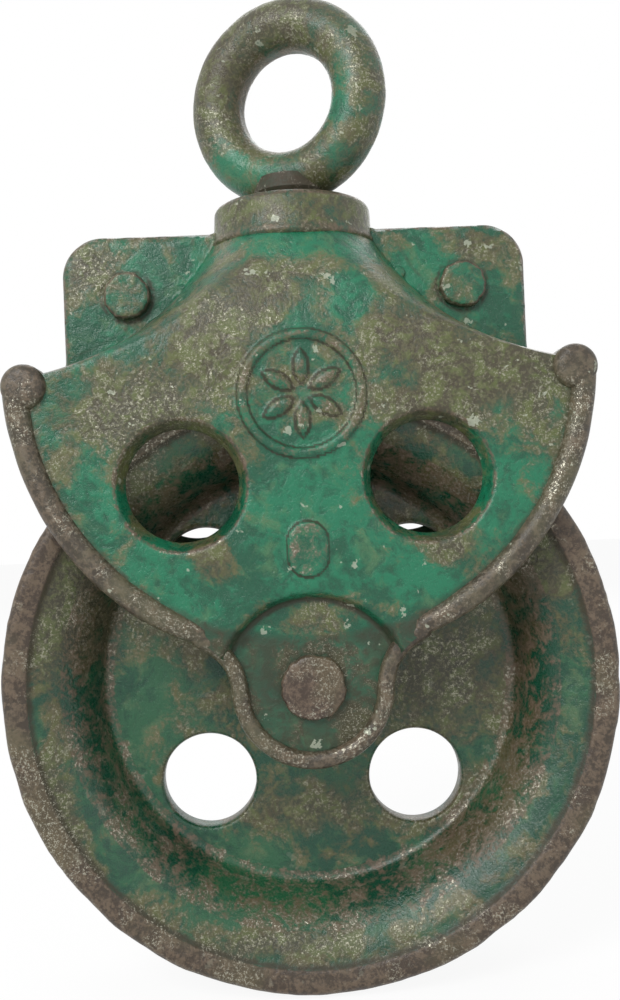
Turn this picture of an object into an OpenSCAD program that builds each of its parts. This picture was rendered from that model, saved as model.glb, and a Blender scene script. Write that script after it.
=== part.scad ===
// Swivel-eye barn pulley: two riveted cast cheeks round a grooved wheel, hung from a turning ring.
// Frame: +X to the right, -Y towards the viewer, +Z up; the origin is the centre of the ring's hole.
// Heights called "rise" are measured up from the axle.

/* [Wheel] */
// Diameter over the wheel's lips
wheel_d = 152.4; // [144:0.2:156]
// Width over the wheel's lips
wheel_w = 44; // [40:0.5:48]
// Thickest rope that the groove takes
rope_d = 28; // [22:1:28]
// Room between the rope and the groove, over the radius
rope_play = 2.5; // [1.5:0.25:2.5]
// Depth of the rope groove below the lips
groove_depth = 18; // [14:0.5:20]
// Metal between the groove and the dished side
rim_wall = 5; // [4:0.25:6]
// Rounding of the lips
lip_round = 2; // [1:0.25:2.25]
// Width of the worn flat band inside the lip
lip_band = 6.6; // [5:0.2:9]
// Thickness of the wheel's web
web_t = 7; // [5:0.5:9]
// Rounding where the web meets the dished side
web_round = 3; // [1:0.5:4]
// Hub diameter
hub_d = 30; // [26:1:36]
// Slope where the hub meets the web
hub_foot = 2; // [1:0.5:3]
// Bevel round the hub's end
hub_bevel = 1; // [0.5:0.25:1.5]
// Number of lightening holes
web_holes = 4; // [3:1:5]
// Diameter of a lightening hole
web_hole_d = 24; // [18:0.5:25]
// Diameter of the circle that the lightening holes are on
web_hole_pcd = 75.6; // [72:0.4:78]
// Turn of the wheel at rest, away from holes at 45 degrees
wheel_turn = -1.2; // [-45:0.1:45]

/* [Axle] */
// Diameter of the axle pin
axle_d = 14.3; // [12:0.1:16]
// Diameter of the hammered end of the pin
axle_end_d = 16.2; // [15:0.1:18]
// Height of the hammered end of the pin
axle_end_t = 2.6; // [1.5:0.1:3.5]
// Bevel round the hammered end
axle_bevel = 0.8; // [0.4:0.1:1.2]

/* [Cheeks] */
// Height of the ring's centre above the axle
axle_drop = 150.5; // [149:0.5:158]
// Thickness of a cheek plate
plate_t = 5; // [4:0.25:6]
// Gap between the wheel's lip and the cheek plate
side_gap = 2; // [1.5:0.25:3]
// Radius of the round lower edge of the cheek
fan_r = 71.2; // [69:0.2:74]
// Rise of the centre of that edge
fan_rise = 76.8; // [76:0.2:78]
// Radius of the hollow shoulder curve
bell_r = 56.7; // [54:0.3:58]
// Half distance between the two shoulder curves' centres
bell_x = 73.2; // [72:0.2:75]
// Rise of the shoulder curves' centres
bell_rise = 133.7; // [132.5:0.1:135]
// Thickness of the roof over the rope
roof_t = 5.2; // [4:0.2:6]
// Radius of the curve that rounds the neck into the plate
neck_curve_r = 76.7; // [74:0.3:78]
// Radius that the curve closes in to at its own height
neck_waist_r = 9.4; // [9:0.1:10.4]
// Rise of that curve's centre
neck_curve_rise = 152.4; // [151:0.2:154]
// Rise at which the plate starts to slope back to the neck
slope_rise = 77.3; // [74:0.1:82]
// How far the plate has sloped back at the collar
slope_in = 8.2; // [6:0.2:9]
// Diameter of the round window in a cheek, at its face
window_d = 31.2; // [26:0.2:32]
// Draft of the window through the plate, over the radius
window_draft = 1.9; // [0.5:0.1:2.5]
// Distance of a window from the middle
window_x = 29.6; // [28:0.2:32]
// Rise of the windows
window_rise = 49.8; // [47:0.2:52]

/* [Rim and lobe] */
// Half thickness of the rolled rim along the lower edge
rim_r = 3.15; // [2.5:0.05:3.5]
// How far the rim stands over the edge of the plate
rim_over = 1.4; // [0.8:0.1:1.6]
// Radius of the rounded knob at each tip of the rim
tip_r = 5.6; // [4.5:0.1:6.5]
// Rounding round the face of a tip knob
tip_round = 2; // [1:0.25:2.5]
// Angle of the tip knobs below the level line
tip_angle = 1.8; // [0:0.1:4]
// Radius of the lobe that holds the axle
lobe_r = 19.8; // [18:0.1:21]
// Radius at which the plate steps down to the lobe
step_r = 22; // [21.2:0.1:24]
// Radius of the backing behind the step
backing_r = 30; // [26:0.5:32]
// Depth of the step from the plate to the lobe
step_h = 4.4; // [3:0.1:4.8]
// Thickness of the lobe
lobe_t = 6.6; // [5.5:0.1:7.5]
// Half thickness of the rim round the lobe
lobe_rim_r = 2.1; // [1.6:0.1:2.4]
// Hollow radius between the lobe and the lower edge
neck_fillet_r = 14; // [10:0.5:18]

/* [Ears] */
// Width over both ears
ear_span = 120.2; // [116:0.2:124]
// Rise of the top of the ears
ear_rise = 115.5; // [113.5:0.1:117]
// Thickness of one ear
ear_t = 5; // [4:0.25:6]
// Corner radius of the ears
ear_corner_r = 10.4; // [6:0.2:14]
// Hollow radius where an ear runs out into the tip
ear_foot_r = 5; // [3:0.5:6]
// Distance of a rivet from the middle
rivet_x = 43.4; // [42:0.2:46]
// Rise of the rivets
rivet_rise = 99.7; // [98:0.1:102]
// Diameter of a rivet's shank
rivet_d = 8; // [6:0.2:9]
// Diameter of a rivet's flat head
rivet_head_d = 12.6; // [11:0.2:14]
// Height of a rivet's head
rivet_head_t = 2.6; // [1.5:0.1:3]
// Bevel round a rivet's head
rivet_bevel = 0.5; // [0.3:0.1:0.8]
// Distance of the locating pin from the middle
pin_x = 27; // [26.5:0.1:30]
// Rise of the locating pin
pin_rise = 103.4; // [102.5:0.1:106]
// Diameter of the locating pin
pin_d = 3.6; // [2.6:0.1:4]
// How far the locating pin stands out of the ears
pin_out = 1; // [0.4:0.1:1.6]

/* [Swivel eye] */
// Diameter of the hole through the ring
eye_hole_d = 26.6; // [22:0.2:28]
// Diameter of the ring's bar
eye_bar_d = 14.4; // [12:0.2:16]
// Flat worn into the inside of the ring, over the radius
eye_land = 0.35; // [0.2:0.05:0.5]
// Turn of the ring at rest, right side towards the viewer
eye_turn = -24; // [-90:1:90]
// Gap between the ring and the collar
eye_gap = 0.6; // [0.4:0.1:1]
// Diameter of the ring's shank
shank_d = 16; // [13:0.2:18]
// Length of the neck that the shank turns in
neck_len = 19; // [17:0.5:20]
// Diameter of the collar at its top
collar_d = 41; // [39:0.2:42]
// Extra radius of the collar at its foot
collar_draft = 1.1; // [0.4:0.1:1.4]
// Height of the collar
collar_h = 10.6; // [9.4:0.2:11.4]
// Rounding of the collar's top edge
collar_round = 2.6; // [1:0.2:3]
// Diameter of the washer inside the housing
washer_d = 28; // [25:0.5:30]
// Thickness of the washer
washer_t = 3; // [2:0.25:4]
// Diameter of the shank's hammered head
head_d = 22; // [20:0.5:24]
// Thickness of the shank's hammered head
head_t = 5; // [3:0.25:6]

/* [Ornament] */
// Outer diameter of the cast roundel
roundel_d = 31; // [26:0.5:34]
// Width of the roundel's ring
roundel_ring = 2.4; // [1.6:0.2:3]
// Rise of the roundel
roundel_rise = 70.7; // [69.5:0.1:73]
// Height of the cast ornament above the plate
relief_h = 1.2; // [0.6:0.1:1.6]
// Number of petals in the roundel
petals = 6; // [4:1:8]
// Width of a petal
petal_w = 4.4; // [3:0.2:5]
// Gap at both ends of a petal
petal_gap = 1.8; // [1.2:0.2:2.4]
// Height of the plain oval pad
oval_h = 13.6; // [10:0.2:15]
// Width of the plain oval pad
oval_w = 10; // [8:0.2:12]
// Rise of the oval pad
oval_rise = 33.5; // [32.5:0.1:36]

/* [Fits] */
// Radial running clearance of the wheel on its pin
axle_clearance = 0.06; // [0.03:0.01:0.1]
// Radial running clearance of the shank in the neck
swivel_clearance = 0.08; // [0.03:0.01:0.1]
// Gap between the wheel's hub and each cheek
hub_gap = 0.5; // [0.3:0.1:1]
// Gap between the washer and its seat
seat_gap = 0.1; // [0.05:0.05:0.3]
// Room round the washer and below the shank's head
chamber_room = 1; // [0.5:0.25:1.5]
// Radial clearance of rivets and pins that are hammered tight
tight_clearance = 0.02; // [0.01:0.01:0.05]

/* [Hidden] */
$fn = 96;

iron_green = [0.16, 0.47, 0.36];
wheel_green = [0.2, 0.42, 0.3];
bare_iron = [0.36, 0.29, 0.24];
steel_grey = [0.45, 0.42, 0.38];
over = 40;
curve_steps = 10;

wheel_r = wheel_d / 2;
groove_r = rope_d / 2 + rope_play;
groove_root_r = wheel_r - groove_depth;
groove_centre = groove_root_r + groove_r;
dish_arc_r = groove_r + rim_wall;

plate_in = wheel_w / 2 + side_gap;
plate_out = plate_in + plate_t;
lobe_out = plate_out - step_h;
lobe_in = lobe_out - lobe_t;
hub_half = lobe_in - hub_gap;
rim_mid = plate_out - rim_r / 4;

eye_mean_r = (eye_hole_d - 2 * eye_land + eye_bar_d) / 2;
eye_outer_r = eye_mean_r + eye_bar_d / 2;
collar_rise = axle_drop - eye_outer_r - eye_gap;
collar_foot = collar_rise - collar_h;
collar_r = collar_d / 2;
neck_curve_x = neck_curve_r + neck_waist_r;
chamber_rise = collar_rise - neck_len;
chamber_r = washer_d / 2 + chamber_room;
chamber_floor = chamber_rise - seat_gap - washer_t - head_t - chamber_room;

fillet_far = fan_r + neck_fillet_r;
fillet_near = lobe_r + neck_fillet_r;
fillet_z = (fan_rise * fan_rise - fillet_far * fillet_far + fillet_near * fillet_near) / (2 * fan_rise);
fillet_x = sqrt(fillet_near * fillet_near - fillet_z * fillet_z);
fan_tangent = atan2(fan_rise - fillet_z, fillet_x);
lobe_tangent = atan2(fillet_z, fillet_x);

ball_over = 0.12;
knob_over = 0.4;
tip_ledge = 2;
root_in = 1;

function arc(cx, cy, r, a0, a1, n) = [for (i = [0 : n]) let (a = a0 + (a1 - a0) * i / n) [cx + r * cos(a), cy + r * sin(a)]];

function mirrored(points) = [for (i = [len(points) - 1 : -1 : 0]) [-points[i][0], points[i][1]]];

function plate_slope(z) = slope_in * pow(max(0, (z - slope_rise) / (collar_foot - slope_rise)), 2);

function neck_radius(z, grow) =
    neck_curve_x - sqrt(max(0, pow(neck_curve_r + grow, 2) - pow(neck_curve_rise - z, 2)));

// Carries a drawing in X and Z to the side facing the viewer, from the middle plane out to a depth.
module toward_viewer(depth) {
    rotate([90, 0, 0]) linear_extrude(depth) children();
}

// The same between two depths.
module slab(from_y, to_y) {
    translate([0, -from_y, 0]) toward_viewer(to_y - from_y) children();
}

module both_sides() {
    children();
    mirror([1, 0, 0]) children();
}

// Revolves a section about the axle's direction.
module about_y() {
    rotate([90, 0, 0]) rotate_extrude() children();
}

// Bar of round section bent on an arc in the X-Z plane.
module bent_bar(cx, cz, depth, bend_r, bar_r, a0, a1) {
    translate([cx, -depth, cz])
        rotate([90, 0, 0])
        rotate([0, 0, a0])
        rotate_extrude(angle = a1 - a0)
        translate([bend_r, 0]) circle(bar_r);
}

// Drawing of the cheek seen from the front, grown inward for the hollow behind it.
module shoulders(grow) {
    both_sides() translate([bell_x, bell_rise]) circle(bell_r + grow);
}

module cheek_outline() {
    difference() {
        intersection() {
            translate([0, fan_rise]) circle(fan_r - rim_over);
            translate([-over * 2, -over]) square([over * 4, collar_foot + over]);
        }
        shoulders(0);
    }
}

// Side view of the plate: flat below, sloping back to the neck above.
module plate_side(in, top) {
    rises = [for (i = [0 : curve_steps]) slope_rise + (top - slope_rise) * i / curve_steps];
    front = [for (z = rises) [-(plate_out - in - plate_slope(z)), z]];
    polygon(concat([[over, top], [over, -over], [-(plate_out - in), -over]], front));
}

// Solid of revolution about the swivel that rounds the plate's shoulders into the neck.
module neck_dome(grow, top) {
    low = neck_curve_rise - neck_curve_r - grow;
    rises = [for (i = [0 : curve_steps]) low + (top - low) * i / curve_steps];
    curve = [for (z = rises) [neck_radius(z, grow), z]];
    rotate_extrude() polygon(concat([[0, top], [0, -over], [neck_curve_x, -over]], curve));
}

module cheek_body() {
    intersection() {
        toward_viewer(plate_out) cheek_outline();
        translate([-over * 2, 0, 0]) rotate([90, 0, 90]) linear_extrude(over * 4) plate_side(0, collar_foot);
        neck_dome(0, collar_foot);
    }
}

// Space for the wheel, the rope and the shank's head behind the plate.
module cheek_hollow() {
    intersection() {
        translate([0, over, 0]) toward_viewer(plate_out + over) difference() {
            translate([-over * 3, -over * 2]) square([over * 6, chamber_rise + over * 2]);
            shoulders(roof_t);
        }
        translate([-over * 2, 0, 0])
            rotate([90, 0, 90])
            linear_extrude(over * 4)
            plate_side(plate_t, chamber_rise);
        neck_dome(plate_t, chamber_rise);
    }
}

module ear_outline() {
    half = ear_span / 2;
    foot = bell_rise - bell_r;
    ledge = foot + tip_ledge;
    edge = concat(
        [[half + ear_foot_r, foot]],
        arc(half + ear_foot_r, ledge + ear_foot_r, ear_foot_r, 270, 180, 5),
        arc(half - ear_corner_r, ear_rise - ear_corner_r, ear_corner_r, 0, 90, 8)
    );
    polygon(concat(edge, mirrored(edge)));
}

module collar() {
    foot_r = collar_r + collar_draft;
    top = arc(collar_r - collar_round, collar_rise - collar_round, collar_round, 0, 90, 5);
    rotate_extrude() polygon(concat([[0, collar_rise], [0, collar_foot - 1], [foot_r, collar_foot]], top));
}

// Room for the washer and the shank's head, or with a wall added, the metal round it.
module chamber(wall, top) {
    translate([0, 0, chamber_floor]) cylinder(h = top - chamber_floor, r = chamber_r + wall);
}

// The lobe and the hollow shoulders that join it to the round lower edge.
module lobe_outline() {
    reach = fan_r - rim_over;
    top = [reach * cos(fan_tangent) - root_in, fan_rise - reach * sin(fan_tangent) + 3 * root_in];
    shoulder = arc(fillet_x, fillet_z, neck_fillet_r + rim_over, 180 + lobe_tangent, 180 - fan_tangent, 8);
    round = arc(0, 0, lobe_r - rim_over, -90, lobe_tangent, 14);
    half = concat([for (i = [0 : 13]) round[i]], shoulder, [top]);
    polygon(concat(half, mirrored(half)));
}

module lobe() {
    slab(lobe_in, lobe_out) {
        lobe_outline();
        intersection() {
            cheek_outline();
            circle(backing_r);
        }
    }
}

// Rolled rim along the lower edge and round the lobe; a ball closes each place where its bend changes.
module rolled_rim() {
    bend = fan_r - rim_r;
    turn_r = neck_fillet_r + lobe_rim_r;
    small_bend = lobe_r - lobe_rim_r;
    knob = fan_r - tip_r + knob_over;
    both_sides() {
        bent_bar(0, fan_rise, rim_mid, bend, rim_r, -fan_tangent, -tip_angle);
        bent_bar(fillet_x, fillet_z, lobe_out, turn_r, lobe_rim_r, 180 - fan_tangent, 178 + lobe_tangent);
        rim_ball(bend * cos(fan_tangent), fan_rise - bend * sin(fan_tangent), rim_mid, rim_r);
        rim_ball(small_bend * cos(lobe_tangent), small_bend * sin(lobe_tangent), lobe_out, lobe_rim_r);
        translate([knob * cos(tip_angle), 0, fan_rise - knob * sin(tip_angle)]) tip_knob();
    }
    bent_bar(0, 0, lobe_out, small_bend, lobe_rim_r, -178 - lobe_tangent, lobe_tangent - 2);
}

module rim_ball(x, z, depth, bar_r) {
    translate([x, -depth, z]) sphere(bar_r + ball_over);
}

// Rounded knob that ends the rolled rim at each tip.
module tip_knob() {
    top = rim_mid + rim_r + knob_over;
    edge = arc(tip_r - tip_round, top - tip_round, tip_round, 0, 90, 4);
    about_y() polygon(concat([[0, top], [0, plate_in], [tip_r, plate_in]], edge));
}

// Lens between two equal circles, from near the roundel's middle to near its ring.
module petal() {
    reach = roundel_d / 2 - roundel_ring - petal_gap;
    half_l = (reach - petal_gap) / 2;
    bow = (half_l * half_l + petal_w * petal_w / 4) / petal_w;
    translate([petal_gap + half_l, 0]) intersection() {
        translate([0, bow - petal_w / 2]) circle(bow);
        translate([0, petal_w / 2 - bow]) circle(bow);
    }
}

// Plain cast roundel and oval pad on the face of the plate.
module ornament() {
    slab(plate_out - 1, plate_out + relief_h) {
        translate([0, roundel_rise]) {
            difference() {
                circle(roundel_d / 2);
                circle(roundel_d / 2 - roundel_ring);
            }
            for (i = [0 : petals - 1]) rotate(90 + i * 360 / petals) petal();
        }
        translate([0, oval_rise]) {
            square([oval_w, oval_h - oval_w], center = true);
            translate([0, (oval_h - oval_w) / 2]) circle(oval_w / 2);
            translate([0, -(oval_h - oval_w) / 2]) circle(oval_w / 2);
        }
    }
}

module drill(r, from_y, to_y) {
    translate([0, -from_y, 0]) rotate([90, 0, 0]) cylinder(h = to_y - from_y, r = r);
}

module window() {
    slope = window_draft / plate_t;
    translate([0, -plate_in + 1, 0])
        rotate([90, 0, 0])
        cylinder(
            h = plate_t + 2,
            r1 = window_d / 2 - window_draft - slope,
            r2 = window_d / 2 + slope
        );
}

// One cheek casting, facing the viewer, with its own half of the ears, roof, neck and collar.
module cheek() {
    difference() {
        union() {
            difference() {
                union() {
                    cheek_body();
                    toward_viewer(ear_t) ear_outline();
                    intersection() {
                        union() {
                            collar();
                            chamber(plate_t, collar_foot);
                        }
                        translate([-over, -over * 2, 0]) cube([over * 2, over * 2, axle_drop]);
                    }
                }
                cheek_hollow();
                chamber(0, chamber_rise);
                drill(step_r, lobe_out, plate_out + 1);
            }
            lobe();
            rolled_rim();
            ornament();
        }
        translate([0, 0, chamber_rise - 1])
            cylinder(h = neck_len + 2, r = shank_d / 2 + swivel_clearance);
        drill(axle_d / 2 + tight_clearance, lobe_in - 1, lobe_out + 1);
        both_sides() {
            translate([window_x, 0, window_rise]) window();
            translate([rivet_x, 0, rivet_rise]) drill(rivet_d / 2 + tight_clearance, -1, ear_t + 1);
        }
    }
}

module pin_hole() {
    translate([pin_x, 0, pin_rise]) drill(pin_d / 2 + tight_clearance, -ear_t - 1, ear_t + 1);
}

// Everything below is placed from the ring's centre.
module at_axle() {
    translate([0, 0, -axle_drop]) children();
}

module front_cheek() {
    color(iron_green) at_axle() difference() {
        cheek();
        pin_hole();
    }
}

module rear_cheek() {
    color(iron_green) at_axle() difference() {
        rotate([0, 0, 180]) cheek();
        pin_hole();
    }
}

// Half section of the wheel: radius along X, distance from the middle plane along Y.
function wheel_half(half_w) =
    let (
        lip_r = wheel_r - lip_round,
        flare = min(groove_r, lip_r - 1 - groove_root_r),
        band_r = wheel_r - lip_band,
        band_y = sqrt(pow(dish_arc_r, 2) - pow(groove_centre - band_r, 2)),
        groove_a = acos(min(1, max(0, (groove_centre - lip_r + 1) / groove_r))),
        dish_a0 = asin(min(1, band_y / dish_arc_r)),
        foot_y = web_t / 2 + web_round,
        foot_c = groove_centre - sqrt(pow(dish_arc_r + web_round, 2) - pow(foot_y, 2)),
        dish_a1 = asin(foot_y / (dish_arc_r + web_round)),
        groove = [for (i = [0 : 10]) let (a = groove_a * i / 10)
            [groove_centre - groove_r * cos(a), groove_r * sin(a)]],
        lip = arc(lip_r, half_w - lip_round, lip_round, 0, 90, 4),
        dish = [for (i = [0 : 8]) let (a = dish_a0 + (dish_a1 - dish_a0) * i / 8)
            [groove_centre - dish_arc_r * cos(a), dish_arc_r * sin(a)]],
        foot = [for (i = [1 : 4]) let (a = -dish_a1 - (90 - dish_a1) * i / 4)
            [foot_c + web_round * cos(a), foot_y + web_round * sin(a)]]
    )
    concat(groove, lip, dish, foot,
        [[hub_d / 2 + hub_foot, web_t / 2], [hub_d / 2, web_t / 2 + hub_foot],
        [hub_d / 2, hub_half - hub_bevel], [hub_d / 2 - hub_bevel, hub_half], [0, hub_half]]);

module wheel() {
    half = wheel_half(wheel_w / 2);
    count = len(half);
    back = [for (i = [count - 1 : -1 : 1]) [half[i][0], -half[i][1]]];
    color(wheel_green) at_axle() rotate([0, -wheel_turn, 0]) difference() {
        about_y() polygon(concat(half, back));
        drill(axle_d / 2 + axle_clearance, -hub_half - 1, hub_half + 1);
        for (i = [0 : web_holes - 1])
            rotate([0, -45 - i * 360 / web_holes, 0])
            translate([web_hole_pcd / 2, 0, 0])
            drill(web_hole_d / 2, -web_t, web_t);
    }
}

module axle_pin() {
    end_r = axle_end_d / 2;
    tip = lobe_out + axle_end_t;
    half = [[axle_d / 2, lobe_out], [end_r, lobe_out], [end_r, tip - axle_bevel], [end_r - axle_bevel, tip]];
    back = [for (i = [3 : -1 : 0]) [half[i][0], -half[i][1]]];
    color(bare_iron) at_axle() about_y() polygon(concat(half, [[0, tip], [0, -tip]], back));
}

module swivel_eye() {
    seat = chamber_rise - axle_drop - seat_gap;
    head_top = seat - washer_t;
    color(iron_green) {
        rotate([0, 0, eye_turn]) difference() {
            union() {
                about_y() translate([eye_mean_r, 0]) circle(eye_bar_d / 2);
                translate([0, 0, head_top - 1]) cylinder(h = -eye_mean_r - head_top + 1, r = shank_d / 2);
                translate([0, 0, head_top - head_t]) cylinder(h = head_t, r = head_d / 2);
            }
            drill(eye_hole_d / 2, -eye_bar_d, eye_bar_d);
        }
    }
}

module swivel_washer() {
    seat = chamber_rise - axle_drop - seat_gap;
    color(steel_grey) translate([0, 0, seat - washer_t]) difference() {
        cylinder(h = washer_t, r = washer_d / 2);
        translate([0, 0, -1]) cylinder(h = washer_t + 2, r = shank_d / 2 + tight_clearance);
    }
}

module rivet() {
    head_r = rivet_head_d / 2;
    tip = ear_t + rivet_head_t;
    half = [[rivet_d / 2, ear_t], [head_r, ear_t], [head_r, tip - rivet_bevel], [head_r - rivet_bevel, tip]];
    back = [for (i = [3 : -1 : 0]) [half[i][0], -half[i][1]]];
    color(iron_green) at_axle()
        translate([rivet_x, 0, rivet_rise])
        about_y()
        polygon(concat(half, [[0, tip], [0, -tip]], back));
}

module left_rivet() {
    mirror([1, 0, 0]) rivet();
}

module right_rivet() {
    rivet();
}

module locating_pin() {
    reach = ear_t + pin_out;
    color(bare_iron) at_axle() translate([pin_x, 0, pin_rise]) drill(pin_d / 2, -reach, reach);
}

front_cheek();
rear_cheek();
wheel();
axle_pin();
swivel_eye();
swivel_washer();
left_rivet();
right_rivet();
locating_pin();
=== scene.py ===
import math

import bmesh
import bpy
import numpy as np
from mathutils import Matrix, Vector
from mathutils.geometry import delaunay_2d_cdt


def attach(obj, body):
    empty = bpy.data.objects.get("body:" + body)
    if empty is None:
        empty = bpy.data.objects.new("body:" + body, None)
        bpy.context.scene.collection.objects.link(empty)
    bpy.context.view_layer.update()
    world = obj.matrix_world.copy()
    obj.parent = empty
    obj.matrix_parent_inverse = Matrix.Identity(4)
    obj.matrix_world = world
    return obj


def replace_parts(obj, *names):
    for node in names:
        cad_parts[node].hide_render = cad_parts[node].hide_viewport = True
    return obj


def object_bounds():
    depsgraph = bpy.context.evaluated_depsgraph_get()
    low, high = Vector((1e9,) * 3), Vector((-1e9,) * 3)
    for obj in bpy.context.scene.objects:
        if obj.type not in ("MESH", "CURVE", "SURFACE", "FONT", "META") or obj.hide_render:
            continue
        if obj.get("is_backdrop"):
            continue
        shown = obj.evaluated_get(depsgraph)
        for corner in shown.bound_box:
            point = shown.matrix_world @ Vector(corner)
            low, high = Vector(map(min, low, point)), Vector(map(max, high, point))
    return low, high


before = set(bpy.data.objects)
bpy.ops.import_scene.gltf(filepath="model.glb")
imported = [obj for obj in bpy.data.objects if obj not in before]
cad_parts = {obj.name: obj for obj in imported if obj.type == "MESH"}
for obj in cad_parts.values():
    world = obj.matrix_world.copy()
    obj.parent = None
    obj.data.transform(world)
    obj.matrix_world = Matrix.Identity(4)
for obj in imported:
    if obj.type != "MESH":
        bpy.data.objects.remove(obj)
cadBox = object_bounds()
print("frame loaded:", len(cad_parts), "nodes")

# Frame: origin at the centre of the ring's hole, -Y towards the viewer, in metres. The pieces are made in
# millimetres as (across, depth towards the viewer, rise above the axle); drop is the axle below the origin.
layout = {"drop": 150.5, "wheel": 76.2, "floorGap": 0.8}


# Camera of the photo: place in metres, turns in degrees, and the lens for a sensor with a 36 mm long side.
cameraPlan = {
    "place": (-0.0064, -0.3018, -0.1078), "yaw": -1.54, "pitch": -0.51, "roll": -2.38,
    "lens": 41.24, "sensor": 36, "near": 0.01,
}


def turnX(a):
    return np.array([[1, 0, 0], [0, math.cos(a), -math.sin(a)], [0, math.sin(a), math.cos(a)]])


def turnY(a):
    return np.array([[math.cos(a), 0, math.sin(a)], [0, 1, 0], [-math.sin(a), 0, math.cos(a)]])


def turnZ(a):
    return np.array([[math.cos(a), -math.sin(a), 0], [math.sin(a), math.cos(a), 0], [0, 0, 1]])


def makeCamera(plan):
    # Rows of the view are the image's right, down and forward directions in the part's frame.
    level = np.array([[1, 0, 0], [0, 0, -1], [0, 1, 0]])
    roll, pitch, yaw = (math.radians(plan[name]) for name in ("roll", "pitch", "yaw"))
    view = turnZ(roll) @ turnX(pitch) @ turnY(yaw) @ level
    lens = bpy.data.cameras.new("camera")
    lens.sensor_width = plan["sensor"]
    lens.sensor_fit = "AUTO"
    lens.lens = plan["lens"]
    lens.clip_start = plan["near"]
    camera = bpy.data.objects.new("camera", lens)
    bpy.context.scene.collection.objects.link(camera)
    columns = np.array([view[0], -view[1], -view[2]]).T
    matrix = Matrix.Identity(4)
    for i in range(3):
        for j in range(3):
            matrix[i][j] = columns[i, j]
        matrix[i][3] = plan["place"][i]
    camera.matrix_world = matrix
    bpy.context.scene.camera = camera


makeCamera(cameraPlan)
bpy.context.scene.view_settings.view_transform = "Standard"
print("camera placed")


class Board:
    # Short ways to add and join shader nodes in one tree.
    def __init__(self, tree):
        self.tree = tree
        self.nodes = tree.nodes
        self.links = tree.links

    def add(self, kind, **settings):
        node = self.nodes.new(kind)
        for name, value in settings.items():
            setattr(node, name, value)
        return node

    def feed(self, socket, value):
        if isinstance(value, bpy.types.NodeSocket):
            self.links.new(value, socket)
        elif hasattr(value, "__len__") and len(value) == 3 and socket.type == "RGBA":
            socket.default_value = (*value, 1)
        else:
            socket.default_value = value

    def sum(self, kind, a, b=0.0):
        node = self.add("ShaderNodeMath", operation=kind)
        for socket, value in zip(node.inputs, (a, b)):
            self.feed(socket, value)
        return node.outputs[0]

    def ramp(self, value, low, high, outLow=0.0, outHigh=1.0):
        node = self.add("ShaderNodeMapRange", interpolation_type="SMOOTHSTEP", clamp=True)
        names = ("Value", "From Min", "From Max", "To Min", "To Max")
        for name, item in zip(names, (value, low, high, outLow, outHigh)):
            self.feed(node.inputs[name], item)
        return node.outputs[0]

    def mix(self, amount, a, b):
        node = self.add("ShaderNodeMix", data_type="RGBA", blend_type="MIX", clamp_factor=True)
        self.feed(node.inputs[0], amount)
        self.feed(node.inputs[6], a)
        self.feed(node.inputs[7], b)
        return node.outputs[2]

    def noise(self, place, scale, detail, rough):
        node = self.add("ShaderNodeTexNoise")
        for name, value in (("Vector", place), ("Scale", scale), ("Detail", detail), ("Roughness", rough)):
            self.feed(node.inputs[name], value)
        return node.outputs[0]

    def blend(self, *parts):
        # Sum of (noise minus a half) times its share.
        total = None
        for value, share in parts:
            piece = self.sum("MULTIPLY", self.sum("SUBTRACT", value, 0.5), share)
            total = piece if total is None else self.sum("ADD", total, piece)
        return total

    def group(self, tree, **values):
        node = self.add("ShaderNodeGroup", node_tree=tree)
        for name, value in values.items():
            self.feed(node.inputs[name], value)
        return node.outputs


def startGroup(name, inputs, outputs):
    tree = bpy.data.node_groups.new(name, "ShaderNodeTree")
    for label, kind, value in inputs:
        socket = tree.interface.new_socket(label, in_out="INPUT", socket_type="NodeSocket" + kind)
        if value is not None:
            socket.default_value = value
    for label, kind in outputs:
        tree.interface.new_socket(label, in_out="OUTPUT", socket_type="NodeSocket" + kind)
    board = Board(tree)
    return board, board.add("NodeGroupInput").outputs, board.add("NodeGroupOutput").inputs


def arcOf(cx, cz, r, a0, a1, step):
    # Points of an arc: centre plus radius times (cosine, sine) of evenly spaced angles.
    count = max(3, int(abs(math.radians(a1 - a0)) * r / step) + 2)
    a = np.radians(np.linspace(a0, a1, count))
    return np.column_stack([cx + r * np.cos(a), cz + r * np.sin(a)])


def lineOf(p, q, step):
    count = max(2, int(math.dist(p, q) / step) + 2)
    t = np.linspace(0, 1, count)[:, None]
    return (1 - t) * np.array(p, float) + t * np.array(q, float)


def mirrorX(points):
    return points * np.array([-1.0, 1.0])


def softMin(a, b, width):
    # The lower of two heights; a parabola of the given width rounds the crease between them.
    h = np.clip(0.5 + 0.5 * (b - a) / width, 0, 1)
    return b + (a - b) * h - width * h * (1 - h)


def softMax(a, b, width):
    return -softMin(-a, -b, width)


def ease(value, low, high):
    # 0 below low, 1 above high, three t squared minus two t cubed between.
    t = np.clip((value - low) / (high - low), 0, 1)
    return t * t * (3 - 2 * t)


def lumps(u, v, cell, seed):
    # Random heights on a square lattice, joined by eased steps.
    table = np.random.default_rng(seed).random((64, 64)) * 2 - 1
    iu, iv = np.floor(u / cell).astype(int), np.floor(v / cell).astype(int)
    fu, fv = ease(u / cell - iu, 0, 1), ease(v / cell - iv, 0, 1)
    low = table[iu % 64, iv % 64] * (1 - fu) + table[(iu + 1) % 64, iv % 64] * fu
    high = table[iu % 64, (iv + 1) % 64] * (1 - fu) + table[(iu + 1) % 64, (iv + 1) % 64] * fu
    return low * (1 - fv) + high * fv


def stained(x, z, stains):
    # Base plus oval patches: amount times exp(-(dx / half width) squared - (dz / half height) squared).
    value = stains["base"] + 0 * x
    for cx, cz, rx, rz, amount in stains["spots"]:
        value = value + amount * np.exp(-((x - cx) / rx) ** 2 - ((z - cz) / rz) ** 2)
    return value


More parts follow.
